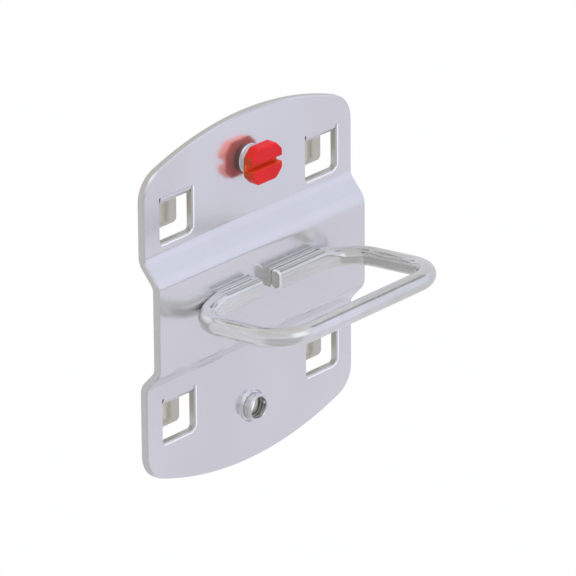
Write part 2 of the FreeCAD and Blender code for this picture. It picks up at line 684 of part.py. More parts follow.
def build_loop():
    """The wire bent to a rectangle and welded by its flattened back bar to the plate's band."""
    body = new_body("wire_loop")
    body.setExpression(".Placement.Base.y", bound("-(sheet_thickness + band_rise + wire_diameter / 2)"))
    body.setExpression(".Placement.Base.z", bound("loop_height"))
    path, first_arc = loop_path(body)
    wire = add(body, "AdditivePipe", "round_wire", round_section(body, "wire_end", path, first_arc, 0.0))
    wire.Spine = path.sketch
    for side, sign in (("left", -1), ("right", 1)):
        way, bend = blend_path(body, f"{side}_blend_path", sign)
        offset = BAR_END if sign > 0 else "-" + BAR_END
        pressed = pressed_section(body, f"{side}_pressed", offset,
                                  "bar_thickness", "bar_height", "bar_edge_radius")
        rounded = round_section(body, f"{side}_round", way, bend[0], 1.0 if sign < 0 else 0.0)
        blend = add(body, "AdditivePipe", f"{side}_blend", pressed)
        blend.Spine = way.sketch
        blend.Transformation = "Multisection"
        blend.Sections = [(rounded.sketch, [""])]
    bar = add(body, "Pad", "bar", pressed_section(
        body, "bar_section", "-" + BAR_END, "(bar_thickness - weld_depth)", "bar_height", "bar_edge_radius"))
    bind(bar, Length="2 * " + BAR_END)
    outline = gap_outline(body)
    gap = add(body, "Pocket", "gap", outline, SideType="Symmetric")
    bind(gap, Length="2 * wire_diameter")
    ends = worth("-bar_gap_shift - bar_gap / 2"), worth("bar_gap / 2 - bar_gap_shift")

    def on_cut_end(edge, spot):
        return min(abs(spot.x - end) for end in ends) < Test.SAME_PLACE

    dress(body, "Chamfer", "end_bevels", "bar_end_bevel", on_cut_end)
    weld = add(body, "Pad", "weld", pressed_section(
        body, "weld_section", "-" + BAR_END, "weld_depth", "weld_height", "weld_radius",
        front="wire_diameter / 2 - weld_depth"))
    bind(weld, Length="2 * " + BAR_END)
    weld_gap = add(body, "Pocket", "weld_gap", outline, SideType="Symmetric")
    bind(weld_gap, Length="2 * wire_diameter")
    return body


def build_screw():
    """The plastic clamping screw: a slotted square head with cut corners on a round shank."""
    body = new_body("clamping_screw")
    body.setExpression(".Placement.Base.y", bound("-(sheet_thickness + collar_height + head_clearance)"))
    body.setExpression(".Placement.Base.z", bound(COLLAR_AXIS))
    half, tall = worth("head_width / 2"), worth("head_height / 2")
    square = Drawing(body, "head_outline", "XZ_Plane")
    low, right, high, left = square.polygon([(-half, -tall), (half, -tall), (half, tall), (-half, tall)])
    square.size("DistanceX", low, START, *ORIGIN, by="head_width / 2")
    square.size("DistanceX", *ORIGIN, right, START, by="head_width / 2")
    square.size("DistanceY", low, START, *ORIGIN, by="head_height / 2")
    square.size("DistanceY", *ORIGIN, high, START, by="head_height / 2")
    head = add(body, "Pad", "head", square)
    bind(head, Length="head_thickness")
    front = -worth("head_thickness")

    def along_axis(edge, spot):
        return edge.Curve.TypeId == "Part::GeomLine" and abs(edge.Curve.Direction.y) > Test.TURNED_TO

    def on_front(edge, spot):
        return abs(spot.y - front) < Test.SAME_PLACE

    dress(body, "Chamfer", "corner_cuts", "head_corner_cut", along_axis)
    dress(body, "Fillet", "corner_rounds", "head_corner_radius", along_axis)
    dress(body, "Chamfer", "front_bevel", "head_edge_bevel", on_front)
    slot = Drawing(body, "slot_outline", "XZ_Plane", offset="head_thickness")
    wide, half = worth("head_width"), worth("slot_width / 2")
    low, right, high, left = slot.polygon([(-wide, -half), (wide, -half), (wide, half), (-wide, half)])
    slot.size("DistanceX", low, START, *ORIGIN, by="head_width")
    slot.size("DistanceX", *ORIGIN, right, START, by="head_width")
    slot.size("DistanceY", low, START, *ORIGIN, by="slot_width / 2")
    slot.size("DistanceY", *ORIGIN, high, START, by="slot_width / 2")
    bind(add(body, "Pocket", "slot", slot), Length="slot_depth")
    shank = Drawing(body, "shank_circle", "XZ_Plane")
    ring = shank.circle((0, 0), worth("thread_diameter / 2"))
    shank.rule("Coincident", ring, CENTRE, *ORIGIN)
    shank.size("Diameter", ring, by="thread_diameter - 2 * thread_clearance")
    stem = add(body, "Pad", "shank", shank, Reversed=True)
    bind(stem, Length="head_clearance + collar_height + sheet_thickness + tip_projection")
    DOC.recompute()
    tip = worth("head_clearance + collar_height + sheet_thickness + tip_projection")

    def at_tip(edge, spot):
        return abs(spot.y - tip) < Test.SAME_PLACE

    dress(body, "Chamfer", "tip_chamfer_cut", "tip_chamfer", at_tip)
    return body


fill_sheet()
BODIES = [build_plate(), build_loop(), build_screw()]
DOC.recompute()

for item in DOC.Objects:
    if {"Invalid", "Error"} & set(item.State):
        raise RuntimeError(f"{item.Label} did not build: {item.State}")

os.makedirs("parts", exist_ok=True)
for piece in BODIES:
    solid = piece.Shape
    if solid.isNull() or not solid.isValid() or len(solid.Solids) != 1:
        raise RuntimeError(f"{piece.Label} is not one sound solid")
    solid.exportStep(f"parts/{piece.Label}.step")
    print(piece.Label, round(solid.Volume, 2), solid.BoundBox)
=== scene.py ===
"""Looks for the pegboard tool holder: a finish for each piece, and the cut thread in the open collar."""

import logging
import math
from collections.abc import Callable, Mapping, Sequence
from dataclasses import dataclass
from enum import Enum
from functools import reduce

import bpy
from mathutils import Matrix, Vector


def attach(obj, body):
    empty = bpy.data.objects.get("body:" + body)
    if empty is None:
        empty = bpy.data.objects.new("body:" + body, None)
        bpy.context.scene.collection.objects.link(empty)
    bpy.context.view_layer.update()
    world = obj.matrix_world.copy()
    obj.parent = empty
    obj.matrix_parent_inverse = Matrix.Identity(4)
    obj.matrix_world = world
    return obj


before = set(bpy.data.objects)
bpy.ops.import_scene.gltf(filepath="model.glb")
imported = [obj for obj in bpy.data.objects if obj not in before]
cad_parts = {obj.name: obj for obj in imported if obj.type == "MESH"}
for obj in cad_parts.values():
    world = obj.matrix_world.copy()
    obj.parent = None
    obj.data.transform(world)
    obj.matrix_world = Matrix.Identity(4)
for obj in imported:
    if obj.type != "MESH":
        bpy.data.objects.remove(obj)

LOG = logging.getLogger("tool_holder")
MM = 0.001

Colour = tuple[float, float, float]
Place = tuple[float, float, float]
Value = bpy.types.NodeSocket | float | Sequence[float]

# Where the sheet's features lie, in the part's own frame.
COLLAR_HEIGHT = 23.75 * MM
COLLAR_ZONE = (16.0 * MM, 18.0 * MM)
RAISED_FROM_SHEET = (-1.37 * MM, -1.42 * MM)
HOOK_DEPTH = (0.2 * MM, 0.9 * MM)
FLANGE_ZONE = (10.5 * MM, 13.0 * MM)
BOW_SPREAD = (24.0 * MM, 10.0 * MM)
FOOT_SPREAD = (3.35 * MM, 2.7 * MM)
FOOT_FRONT = (-1.2 * MM, -1.3 * MM)

# The painted highlight along a window's right and lower edges, measured from its edges.
RIM_HIGHLIGHT_CORNER = 1.2 * MM
RIM_HIGHLIGHT_INNER = (0.20 * MM, 0.28 * MM)
RIM_HIGHLIGHT_OUTER = (0.60 * MM, 0.46 * MM)
RIM_HIGHLIGHT_TOP = (8.6 * MM, 8.2 * MM)
RIM_HIGHLIGHT_START = (-0.1 * MM, 0.5 * MM)
RIM_HIGHLIGHT_FRONT = (-1.30 * MM, -1.34 * MM)

# The press's marks along the lower bend.
PRESS_LOWER = (-9.6 * MM, -9.1 * MM)
PRESS_UPPER = (-7.7 * MM, -8.2 * MM)
PRESS_FINENESS = (420.0, 900.0, 1500.0)
PRESS_PATCHES = (0.46, 0.62)

# How far a face's normal lies along Y, negative towards the front.
EDGE_ON = (0.25, 0.12)
FRONT_FACING = (-0.6, -0.9)
FLAT_TO_FRONT = (-0.9, -0.99)
PARTLY_FRONT = (-0.2, -0.5)

# How a noise turns into streaks, cloud and grain.
STREAK_CONTRAST = (0.35, 0.65)
CLOUD_CONTRAST = (0.3, 0.7)
GRAIN_CONTRAST = (0.25, 0.75)
GRAIN_FINER = 14.0

# What bright metal mirrors, and which ways it lies: +X to the right, -Y before the part, +Z up.
WHITE: Colour = (1.0, 1.0, 1.0)
WALLS: Colour = (0.69, 0.685, 0.76)
ROOM: Colour = (0.485, 0.49, 0.50)
CEILING: Colour = (0.615, 0.615, 0.62)
SOFT_LIGHT: Colour = (1.02, 1.05, 1.11)
ROOM_X, ROOM_Y, ROOM_Z = (0.14, -0.12), (0.3, -0.1), (0.34, 0.05)
CEILING_Z = (0.3, 0.85)
LIGHT_SLOPE = -0.05
LIGHT_SPREAD = (0.56, 0.24)
LIGHT_FOOT, LIGHT_TOP = (0.02, 0.34), (0.90, 0.70)


class Body(Enum):
    """The moving body that the added piece rides on."""

    HOLDER = "holder"


class Slot(Enum):
    """The record's material slot plate_zinc; no added piece is given it here."""

    PLATE = "plate_zinc"


class Node(Enum):
    """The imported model's nodes."""

    PLATE = "mounting_plate"
    WIRE = "wire_loop"
    SCREW = "clamping_screw"


class NodeTree:
    """A short way to place and join shader nodes."""

    def __init__(self, tree: bpy.types.NodeTree) -> None:
        """Takes the tree that the nodes go into."""
        self.tree = tree

    def add(self, kind: str, feeds: Mapping | None = None, **settings: object) -> bpy.types.Node:
        """Places a node.

        Args:
            kind: Blender's name for the kind of node.
            feeds: what goes into its inputs, by their names or numbers.
            **settings: the node's own settings, by name.

        Returns:
            The new node.
        """
        node = self.tree.nodes.new(kind)
        for name, value in settings.items():
            setattr(node, name, value)
        for name, value in (feeds or {}).items():
            self.feed(node.inputs[name], value)
        return node

    def feed(self, socket: bpy.types.NodeSocket, value: Value) -> None:
        """Joins an output to an input, or sets the input to a number, a vector or a colour.

        Args:
            socket: the input.
            value: the output, or what the input is set to.
        """
        if isinstance(value, bpy.types.NodeSocket):
            self.tree.links.new(value, socket)
        elif socket.type == "RGBA":
            socket.default_value = (*value, 1.0)
        else:
            socket.default_value = value

    def maths(self, operation: str, *values: Value, clamp: bool = False) -> bpy.types.NodeSocket:
        """Places a Math node on sockets or numbers; clamp keeps its result within 0 and 1."""
        operands = dict(enumerate(values))
        return self.add("ShaderNodeMath", operands, operation=operation, use_clamp=clamp).outputs[0]

    def product(self, *factors: Value) -> bpy.types.NodeSocket:
        """Multiplies sockets or numbers, such as masks that all have to hold."""
        return reduce(lambda total, factor: self.maths("MULTIPLY", total, factor), factors)

    def vector(self, operation: str, *values: Value) -> bpy.types.NodeSocket:
        """Places a Vector Math node, whose result is a number for a length or a dot product."""
        node = self.add("ShaderNodeVectorMath", dict(enumerate(values)), operation=operation)
        return node.outputs["Value" if operation in ("LENGTH", "DOT_PRODUCT") else "Vector"]

    def axes(self, vector: bpy.types.NodeSocket) -> Sequence[bpy.types.NodeSocket]:
        """Takes a vector apart into its X, Y and Z."""
        return tuple(self.add("ShaderNodeSeparateXYZ", {"Vector": vector}).outputs)

    def combine(self, **parts: Value) -> bpy.types.NodeSocket:
        """Makes a vector of those of X, Y and Z that aren't 0."""
        return self.add("ShaderNodeCombineXYZ", parts).outputs[0]

    def noise(self, place: bpy.types.NodeSocket, scale: Value, detail: float,
              roughness: float = 0.5) -> bpy.types.NodeSocket:
        """Places a noise of about 0.5 on average, with finer layers by its detail and roughness."""
        feeds = {"Vector": place, "Scale": scale, "Detail": detail, "Roughness": roughness}
        return self.add("ShaderNodeTexNoise", feeds, noise_dimensions="3D").outputs["Fac"]

    def ramp(self, value: bpy.types.NodeSocket, low: float, high: float,
             start: float = 0.0, end: float = 1.0) -> bpy.types.NodeSocket:
        """Maps low and high smoothly to start and end, and keeps the result within them."""
        feeds = {"Value": value, "From Min": low, "From Max": high, "To Min": start, "To Max": end}
        return self.add("ShaderNodeMapRange", feeds, interpolation_type="SMOOTHSTEP").outputs["Result"]

    def blend(self, share: Value, first: Value, second: Value) -> bpy.types.NodeSocket:
        """Mixes two colours, the first at a share of 0 and the second at 1."""
        return self.add("ShaderNodeMix", {0: share, 6: first, 7: second}, data_type="RGBA").outputs[2]

    def bump(self, height: bpy.types.NodeSocket, strength: float, depth: float,
             below: bpy.types.NodeSocket | None = None) -> bpy.types.NodeSocket:
        """Places a Bump node.

        Args:
            height: the height's socket, from 0 to 1.
            strength: how strongly the bump shows.
            depth: the height of 1, in metres.
            below: the normal that the bump is laid on, if it isn't the surface's own.

        Returns:
            The bumped normal's socket.
        """
        feeds = {"Height": height, "Strength": strength, "Distance": depth}
        if below is not None:
            feeds["Normal"] = below
        return self.add("ShaderNodeBump", feeds).outputs["Normal"]


@dataclass
class Effect:
    """A shader node group with named inputs and outputs, built once and placed wherever it is needed."""

    name: str
    inputs: dict[str, tuple[str, object]]
    outputs: dict[str, str]
    build: Callable[[NodeTree, Mapping], Mapping]

    def group(self) -> bpy.types.NodeTree:
        """Finds the node group, and builds it at its first use.

        Returns:
            The node group.
        """
        found = bpy.data.node_groups.get(self.name)
        if found:
            return found
        tree = bpy.data.node_groups.new(self.name, "ShaderNodeTree")
        for label, (kind, value) in self.inputs.items():
            socket = tree.interface.new_socket(label, in_out="INPUT", socket_type=kind)
            if value is not None:
                socket.default_value = value
        for label, kind in self.outputs.items():
            tree.interface.new_socket(label, in_out="OUTPUT", socket_type=kind)
        nodes = NodeTree(tree)
        given, result = nodes.add("NodeGroupInput"), nodes.add("NodeGroupOutput")
        for label, value in self.build(nodes, given.outputs).items():
            nodes.feed(result.inputs[label], value)
        return tree

    def place(self, nodes: NodeTree, **values: Value) -> Mapping:
        """Places the group in a material with its own values, and gives its outputs by name."""
        return nodes.add("ShaderNodeGroup", values, node_tree=self.group()).outputs


def build_streaks(nodes: NodeTree, given: Mapping) -> Mapping:
    """Draws the fine streaks left by rolling or drawing, long along one direction.

    Args:
        nodes: the group's nodes.
        given: the group's inputs by name.

    Returns:
        What the group's outputs are, by name.
    """
    stretched = nodes.vector("MULTIPLY", given["Place"], given["Fineness"])
    uneven = nodes.noise(stretched, scale=1.0, detail=3.0, roughness=0.6)
    return {"Mask": nodes.ramp(uneven, *STREAK_CONTRAST)}


def build_cloud(nodes: NodeTree, given: Mapping) -> Mapping:
    """Draws the soft cloudiness of electroplated zinc, and a finer grain.

    Args:
        nodes: the group's nodes.
        given: the group's inputs by name.

    Returns:
        What the group's outputs are, by name.
    """
    coarse = nodes.noise(given["Place"], given["Scale"], detail=2.0)
    fine = nodes.noise(given["Place"], nodes.product(given["Scale"], GRAIN_FINER), detail=1.0)
    return {"Cloud": nodes.ramp(coarse, *CLOUD_CONTRAST), "Grain": nodes.ramp(fine, *GRAIN_CONTRAST)}


def build_sheet_zones(nodes: NodeTree, given: Mapping) -> Mapping:
    """Tells the sheet's cut walls, hooks and upper collar apart, and tilts its upper flange's normal a
    little, as if the flange were bowed.

    Args:
        nodes: the group's nodes.
        given: the group's inputs by name.

    Returns:
        What the group's outputs are, by name.
    """
    _, facing, _ = nodes.axes(given["Normal"])
    across, depth, height = nodes.axes(given["Place"])
    raised = nodes.ramp(depth, *RAISED_FROM_SHEET)
    collar = nodes.product(raised, nodes.ramp(nodes.maths("ABSOLUTE", height), *COLLAR_ZONE))
    edge_on = nodes.ramp(nodes.maths("ABSOLUTE", facing), *EDGE_ON)
    lean = nodes.product(nodes.ramp(nodes.maths("ABSOLUTE", across), *BOW_SPREAD),
                         nodes.ramp(height, *FLANGE_ZONE), nodes.ramp(facing, *FLAT_TO_FRONT), given["Bow"])
    leaning = nodes.vector("ADD", given["Normal"], nodes.combine(Z=lean))
    return {
        "Cut wall": nodes.maths("SUBTRACT", edge_on, collar, clamp=True),
        "Behind": nodes.product(nodes.ramp(depth, *HOOK_DEPTH), nodes.ramp(facing, *FRONT_FACING)),
        "Upper collar": nodes.product(raised, nodes.ramp(height, *COLLAR_ZONE)),
        "Bowed normal": nodes.vector("NORMALIZE", leaning),
    }


def build_rim_highlight_and_press_marks(nodes: NodeTree, given: Mapping) -> Mapping:
    """Draws a painted highlight right of and below the punched windows, and the press's marks along the
    lower bend.

    Args:
        nodes: the group's nodes.
        given: the group's inputs by name.

    Returns:
        What the group's outputs are, by name.
    """
    x, depth, height = nodes.axes(given["Place"])
    across, up = (nodes.maths("SUBTRACT", level, nodes.product(nodes.maths("SIGN", level), given["Pitch"]))
                  for level in (x, height))
    right = nodes.maths("SUBTRACT", across, given["Half width"])
    below = nodes.maths("SUBTRACT", nodes.product(up, -1.0), given["Half height"])
    beyond = {axis: nodes.maths("MAXIMUM", nodes.maths("ADD", distance, RIM_HIGHLIGHT_CORNER), 0.0)
              for axis, distance in (("X", right), ("Y", below))}
    outside = nodes.maths("SUBTRACT", nodes.vector("LENGTH", nodes.combine(**beyond)), RIM_HIGHLIGHT_CORNER)
    from_bottom = nodes.maths("ADD", up, given["Half height"])
    from_left = nodes.maths("ADD", across, given["Half width"])
    # Painted highlight: a bright line just outside each window's right and lower edges, on the front face.
    painted_rim_highlight = nodes.product(nodes.ramp(outside, *RIM_HIGHLIGHT_INNER), nodes.ramp(outside, *RIM_HIGHLIGHT_OUTER),
                         nodes.ramp(from_bottom, *RIM_HIGHLIGHT_TOP), nodes.ramp(from_left, *RIM_HIGHLIGHT_START),
                         nodes.ramp(depth, *RIM_HIGHLIGHT_FRONT))
    _, facing, _ = nodes.axes(given["Normal"])
    patches = nodes.noise(nodes.vector("MULTIPLY", given["Place"], PRESS_FINENESS), 1.0, 3.0)
    press = nodes.product(nodes.ramp(height, *PRESS_LOWER), nodes.ramp(height, *PRESS_UPPER),
                          nodes.ramp(facing, *PARTLY_FRONT), nodes.ramp(patches, *PRESS_PATCHES))
    return {"Painted rim highlight": painted_rim_highlight, "Press": press}


def build_collar_foot(nodes: NodeTree, given: Mapping) -> Mapping:
    """Draws the sheet up around the open collar's foot, from 0 to 1.

    Args:
        nodes: the group's nodes.
        given: the group's inputs by name.

    Returns:
        What the group's outputs are, by name.
    """
    across, depth, height = nodes.axes(given["Place"])
    from_axis = nodes.combine(X=across, Z=nodes.maths("ADD", height, COLLAR_HEIGHT))
    near = nodes.ramp(nodes.vector("LENGTH", from_axis), *FOOT_SPREAD)
    return {"Rise": nodes.product(nodes.maths("POWER", near, 2.0), nodes.ramp(depth, *FOOT_FRONT))}


@dataclass(frozen=True)
class Patch:
    """A round patch of the surroundings, which fades in from a rim to a core."""

    aim: Place
    rim_cosine: float
    core_cosine: float
    colour: Colour


PATCHES = (
    Patch((0.70, -0.45, 0.56), 0.80, 0.97, (0.735, 0.77, 0.89)),
    Patch((0.684, -0.716, 0.134), 0.89, 0.98, (0.76, 0.79, 0.93)),
    Patch((0.684, -0.21, 0.70), 0.970, 0.998, (0.31, 0.32, 0.34)),
)


def build_wrap(nodes: NodeTree, given: Mapping) -> Mapping:
    """Colours what bright metal mirrors: pale walls, a soft light, and a dimmer room around the camera.

    Args:
        nodes: the group's nodes.
        given: the group's inputs by name.

    Returns:
        What the group's outputs are, by name.
    """
    way = nodes.vector("NORMALIZE", given["Way"])
    x, y, z = nodes.axes(way)
    room = nodes.product(nodes.ramp(x, *ROOM_X), nodes.ramp(y, *ROOM_Y), nodes.ramp(z, *ROOM_Z))
    colour = nodes.blend(room, WALLS, ROOM)
    colour = nodes.blend(nodes.ramp(z, *CEILING_Z), colour, CEILING)
    for patch in PATCHES:
        nearness = nodes.vector("DOT_PRODUCT", way, Vector(patch.aim).normalized())
        share = nodes.ramp(nearness, patch.rim_cosine, patch.core_cosine)
        colour = nodes.blend(share, colour, patch.colour)
    forwards = nodes.maths("MAXIMUM", nodes.product(y, -1.0), 0.01)
    from_light = nodes.maths("SUBTRACT", nodes.maths("DIVIDE", x, forwards), LIGHT_SLOPE)
    lit = nodes.product(nodes.ramp(nodes.maths("ABSOLUTE", from_light), *LIGHT_SPREAD),
                        nodes.ramp(z, *LIGHT_FOOT), nodes.ramp(z, *LIGHT_TOP))
    return {"Colour": nodes.blend(lit, colour, SOFT_LIGHT)}


STREAKS = Effect(
    "drawn_streaks",
    {"Place": ("NodeSocketVector", None), "Fineness": ("NodeSocketVector", (1000.0, 1000.0, 1000.0))},
    {"Mask": "NodeSocketFloat"},
    build_streaks,
)
CLOUD = Effect(
    "plating_cloud",
    {"Place": ("NodeSocketVector", None), "Scale": ("NodeSocketFloat", 60.0)},
    {"Cloud": "NodeSocketFloat", "Grain": "NodeSocketFloat"},
    build_cloud,
)
SHEET_ZONES = Effect(
    "sheet_zones",
    {
        "Normal": ("NodeSocketVector", None),
        "Place": ("NodeSocketVector", None),
        "Bow": ("NodeSocketFloat", 0.08),
    },
    {
        "Cut wall": "NodeSocketFloat",
        "Behind": "NodeSocketFloat",
        "Upper collar": "NodeSocketFloat",
        "Bowed normal": "NodeSocketVector",
    },
    build_sheet_zones,
)
COLLAR_FOOT = Effect(
    "collar_foot",
    {"Place": ("NodeSocketVector", None)},
    {"Rise": "NodeSocketFloat"},
    build_collar_foot,
)
RIM_HIGHLIGHT_AND_PRESS_MARKS = Effect(
    "rim_highlight_and_press_marks",
    {
        "Normal": ("NodeSocketVector", None),
        "Place": ("NodeSocketVector", None),
        "Pitch": ("NodeSocketFloat", 19.0 * MM),
        "Half width": ("NodeSocketFloat", 4.1 * MM),
        "Half height": ("NodeSocketFloat", 4.3 * MM),
    },
    {"Painted rim highlight": "NodeSocketFloat", "Press": "NodeSocketFloat"},
    build_rim_highlight_and_press_marks,
)
WRAP = Effect(
    "studio_wrap",
    {"Way": ("NodeSocketVector", None)},
    {"Colour": "NodeSocketColor"},
    build_wrap,
)


@dataclass
class Surface:
    """A material in the making, with its nodes, its shader and the coordinates on the object."""

    name: str

    def __post_init__(self) -> None:
        """Makes the material with a Principled BSDF and object coordinates."""
        self.material = bpy.data.materials.new(self.name)
        self.material.use_nodes = True
        self.material.node_tree.nodes.clear()
        self.nodes = NodeTree(self.material.node_tree)
        self.shader = self.nodes.add("ShaderNodeBsdfPrincipled")
        self.output = self.nodes.add("ShaderNodeOutputMaterial").inputs["Surface"]
        self.nodes.feed(self.output, self.shader.outputs[0])
        coordinates = self.nodes.add("ShaderNodeTexCoord")
        self.place, self.normal = coordinates.outputs["Object"], coordinates.outputs["Normal"]

    def set(self, **values: Value) -> None:
        """Sets or joins the shader's inputs, whose names have _ for a space."""
        for name, value in values.items():
            self.nodes.feed(self.shader.inputs[name.replace("_", " ")], value)


@dataclass(frozen=True)
class PlatedSheet:
    """Bright zinc plating on smooth rolled sheet, duller and warmer on the walls cut through it, with a
    painted highlight beside its windows.
    """

    name: str = "plated_sheet"
    face: Colour = (0.83, 0.82, 0.84)
    cloudy: Colour = (0.80, 0.785, 0.80)
    cut: Colour = (0.69, 0.675, 0.62)
    behind: Colour = (0.80, 0.78, 0.67)
    # Painted highlight beside the windows: near white and barely metallic.
    painted_rim_highlight: Colour = (0.96, 0.96, 0.97)
    press: Colour = (0.72, 0.71, 0.71)
    # Painted reflection of the shade under the red head: dark red-brown on the upper collar's wall, seen
    # only by glossy rays.
    painted_shade_in_reflection: Colour = (0.16, 0.03, 0.02)
    metal: float = 0.91
    painted_rim_highlight_metal: float = 0.2
    gloss: float = 0.165
    grain: float = 0.05
    cut_dullness: float = 0.25
    cloudiness: float = 45.0
    rolled: Place = (2500.0, 2500.0, 120.0)
    rolled_depth: float = 0.004 * MM
    foot_height: float = 0.38 * MM

    def material(self) -> bpy.types.Material:
        """Builds the finish.

        Returns:
            The material.
        """
        surface = Surface(self.name)
        nodes, place, normal = surface.nodes, surface.place, surface.normal
        cloud = CLOUD.place(nodes, Place=place, Scale=self.cloudiness)
        streaks = STREAKS.place(nodes, Place=place, Fineness=self.rolled)
        zones = SHEET_ZONES.place(nodes, Normal=normal, Place=place)
        marks = RIM_HIGHLIGHT_AND_PRESS_MARKS.place(nodes, Normal=normal, Place=place)
        mirrored = nodes.add("ShaderNodeLightPath").outputs["Is Glossy Ray"]
        colour = nodes.blend(cloud["Cloud"], self.face, self.cloudy)
        for share, tint in ((zones["Behind"], self.behind),
                            (marks["Press"], self.press),
                            # Painted highlight beside the windows.
                            (marks["Painted rim highlight"], self.painted_rim_highlight),
                            # Painted reflection: the plate mirrors the upper collar's wall as dark
                            # red-brown shade.
                            (nodes.product(zones["Upper collar"], mirrored), self.painted_shade_in_reflection),
                            (zones["Cut wall"], self.cut)):
            colour = nodes.blend(share, colour, tint)
        rough = nodes.maths("MULTIPLY_ADD", cloud["Grain"], self.grain, self.gloss)
        foot = COLLAR_FOOT.place(nodes, Place=place)
        flared = nodes.bump(foot["Rise"], 1.0, self.foot_height, below=zones["Bowed normal"])
        surface.set(
            Base_Color=colour,
            Roughness=nodes.maths("MULTIPLY_ADD", zones["Cut wall"], self.cut_dullness, rough),
            # The painted highlight is made less metallic, so that it shows white.
            Metallic=nodes.ramp(marks["Painted rim highlight"], 0.0, 1.0, self.metal, self.painted_rim_highlight_metal),
            Normal=nodes.bump(streaks["Mask"], 0.15, self.rolled_depth, below=flared),
        )
        return surface.material


@dataclass(frozen=True)
class PlatedWire:
    """Bright zinc plating on drawn wire, with a painted highlight on the bevels around its cut ends."""

    name: str = "plated_wire"
    bright: Colour = (0.86, 0.86, 0.85)
    dull: Colour = (0.76, 0.76, 0.73)
    streak: Colour = (0.60, 0.58, 0.52)
    streak_share: float = 0.3
    # Painted highlight on the cut ends' bevels: near white and less metallic.
    painted_bevel_highlight: Colour = (0.90, 0.90, 0.90)
    bevel_highlight_metal: float = 0.5
    gap_middle: float = 1.5 * MM
    metal: float = 0.92
    gloss: float = 0.11
    grain: float = 0.08
    cloudiness: float = 80.0
    drawn: Place = (200.0, 200.0, 3500.0)
    drawn_depth: float = 0.006 * MM

    def material(self) -> bpy.types.Material:
        """Builds the finish.

        Returns:
            The material.
        """
        surface = Surface(self.name)
        nodes = surface.nodes
        cloud = CLOUD.place(nodes, Place=surface.place, Scale=self.cloudiness)
        streaks = STREAKS.place(nodes, Place=surface.place, Fineness=self.drawn)["Mask"]
        bevel_highlight_mask = self.bevel_highlight_mask(surface)
        colour = nodes.blend(cloud["Cloud"], self.bright, self.dull)
        colour = nodes.blend(nodes.product(streaks, self.streak_share), colour, self.streak)
        # The bevels around the cut ends get a painted highlight.
        surface.set(
            Base_Color=nodes.blend(bevel_highlight_mask, colour, self.painted_bevel_highlight),
            Metallic=nodes.ramp(bevel_highlight_mask, 0.0, 1.0, self.metal, self.bevel_highlight_metal),
            Roughness=nodes.maths("MULTIPLY_ADD", cloud["Grain"], self.grain, self.gloss),
            Normal=nodes.bump(streaks, 0.2, self.drawn_depth),
        )
        return surface.material

    def bevel_highlight_mask(self, surface: Surface) -> bpy.types.NodeSocket:
        """Finds the small bevels around the wire's two cut ends, where a highlight is painted.

        Args:
            surface: the material in the making.

        Returns:
            The mask's socket, 1 on the bevels.
        """
        nodes = surface.nodes
        sideways, _, _ = nodes.axes(surface.normal)
        across, depth, _ = nodes.axes(surface.place)
        slant = nodes.maths("ABSOLUTE", sideways)
        from_gap = nodes.maths("ABSOLUTE", nodes.maths("SUBTRACT", across, self.gap_middle))
        near_gap = nodes.ramp(from_gap, 2.7 * MM, 2.5 * MM)
        at_bar = nodes.ramp(depth, -9.0 * MM, -8.5 * MM)
        return nodes.product(nodes.ramp(slant, 0.5, 0.6), nodes.ramp(slant, 0.95, 0.85), near_gap, at_bar)


@dataclass(frozen=True)
class CutThread:
    """The thread cut into the collar with the tap's fine marks, darker than the plate partly in its own
    tone and partly as painted shade in the bore.
    """

    name: str = "cut_thread"
    # Both colours are far darker than the plate: partly the cut thread's own tone, partly painted shade in
    # the bore.
    shaded_crest: Colour = (0.42, 0.40, 0.34)
    shaded_root: Colour = (0.16, 0.15, 0.12)
    metal: float = 0.8
    gloss: float = 0.3
    mark_dullness: float = 0.15
    tapped: Place = (900.0, 9000.0, 900.0)
    mark_depth: float = 0.01 * MM

    def material(self) -> bpy.types.Material:
        """Builds the finish.

        Returns:
            The material.
        """
        surface = Surface(self.name)
        nodes = surface.nodes
        marks = STREAKS.place(nodes, Place=surface.place, Fineness=self.tapped)["Mask"]
        surface.set(
            Base_Color=nodes.blend(marks, self.shaded_crest, self.shaded_root),
            Roughness=nodes.ramp(marks, 0.0, 1.0, self.gloss, self.gloss + self.mark_dullness),
            Metallic=self.metal,
            Normal=nodes.bump(marks, 0.2, self.mark_depth),
        )
        return surface.material


